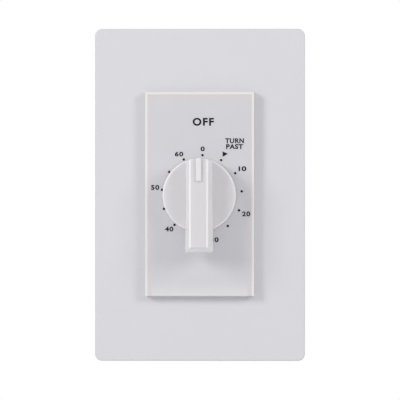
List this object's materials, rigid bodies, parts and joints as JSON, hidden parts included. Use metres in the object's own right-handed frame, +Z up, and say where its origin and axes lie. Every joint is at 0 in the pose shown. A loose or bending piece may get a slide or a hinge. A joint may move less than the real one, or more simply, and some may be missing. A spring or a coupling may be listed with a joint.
{
  "type": "spring-wound wall timer switch",
  "caption": "Spring-wound wall timer switch: rotary knob with a pointer bar on a milky dial plate, clockwork and contacts in a back box, and a screwless wall plate.",
  "frame": {"origin": "middle of the two box screws, on the knob's axis, in the plane of the wall", "axes": "+Z up, -Y towards the room, +Y into the wall, +X to the right as seen from the room"},
  "size_m": [0.075, 0.0589, 0.1186],
  "materials": {
    "plate_plastic": "fine matte, off-white",
    "zinc_steel": "bright zinc plate",
    "milky_acrylic": "milky, faintly translucent, polished edges",
    "adapter_plastic": "matte",
    "knob_plastic": "satin, milky white",
    "spring_steel": "blued spring temper",
    "nickel_brass": "nickel plate",
    "grey_fibre": "vulcanised fibre",
    "green_steel": "green passivated",
    "black_phenolic": "moulded phenolic",
    "brass": "rolled and stamped",
    "turned_steel": "turned",
    "cam_plastic": "moulded, natural white",
    "copper_alloy": "rolled bronze"
  },
  "bodies": {
    "switch_housing": {"wall_plate_cover": "plate_plastic", "wall_plate_frame": "plate_plastic", "wall_plate_screws": "zinc_steel", "dial_plate": "milky_acrylic", "dial_adapter": "adapter_plastic", "bushing_nut": "nickel_brass", "lock_washer": "spring_steel", "mounting_strap": "zinc_steel", "strap_screws": "zinc_steel", "screw_retainers": "adapter_plastic", "ground_screw": "green_steel", "case_lid": "grey_fibre", "timer_case": "black_phenolic", "case_rivets": "nickel_brass", "front_plate": "brass", "back_plate": "brass", "pillars": "turned_steel", "threaded_bushing": "nickel_brass", "movement_screws": "zinc_steel", "movement_spacers": "nickel_brass", "mainspring": "spring_steel", "spring_post": "turned_steel", "insulator_sheet": "grey_fibre", "contact_blade": "copper_alloy", "line_terminal": "brass", "load_terminal": "brass", "terminal_screws": "nickel_brass", "blade_rivet": "copper_alloy"},
    "knob_and_shaft": {"knob": "knob_plastic", "knob_clip": "spring_steel", "winding_shaft": "turned_steel", "ratchet_wheel": "turned_steel", "great_wheel": "brass", "click_pawl": "turned_steel", "click_pin": "turned_steel", "click_spring": "spring_steel", "spring_collar": "turned_steel", "switch_cam": "cam_plastic", "stop_arm": "turned_steel", "shaft_ring": "spring_steel"},
    "second_stage": {"second_arbor": "turned_steel", "second_wheel": "brass"},
    "third_stage": {"third_arbor": "turned_steel", "third_wheel": "brass"},
    "escape_stage": {"escape_arbor": "turned_steel", "escape_wheel": "brass"},
    "pallet_and_balance": {"pallet_arbor": "turned_steel", "pallet_lever": "turned_steel", "balance_wheel": "brass"}
  },
  "joints": [
    {"name": "knob_turn", "type": "hinge", "parent": "switch_housing", "child": "knob_and_shaft", "pos_m": [0, 0, 0], "axis": [0, 1, 0], "range_deg": [0, 332.31], "stiffness_Nm_per_rad": 0.01, "deforming": ["mainspring", "contact_blade"]},
    {"name": "second_turn", "type": "hinge", "parent": "switch_housing", "child": "second_stage", "pos_m": [-0.00479, 0, 0.01316], "axis": [0, 1, 0], "continuous": true},
    {"name": "third_turn", "type": "hinge", "parent": "switch_housing", "child": "third_stage", "pos_m": [0.00717, 0, 0.01211], "axis": [0, 1, 0], "continuous": true},
    {"name": "escape_turn", "type": "hinge", "parent": "switch_housing", "child": "escape_stage", "pos_m": [0.01424, 0, 0.00368], "axis": [0, 1, 0], "continuous": true},
    {"name": "balance_swing", "type": "hinge", "parent": "switch_housing", "child": "pallet_and_balance", "pos_m": [0.01554, 0, -0.0037], "axis": [0, 1, 0], "range_deg": [-4, 4]}
  ],
  "couplings": [
    {"joint": "second_turn", "follows": "knob_turn", "ratio": -6},
    {"joint": "third_turn", "follows": "knob_turn", "ratio": 30},
    {"joint": "escape_turn", "follows": "knob_turn", "ratio": -135}
  ]
}
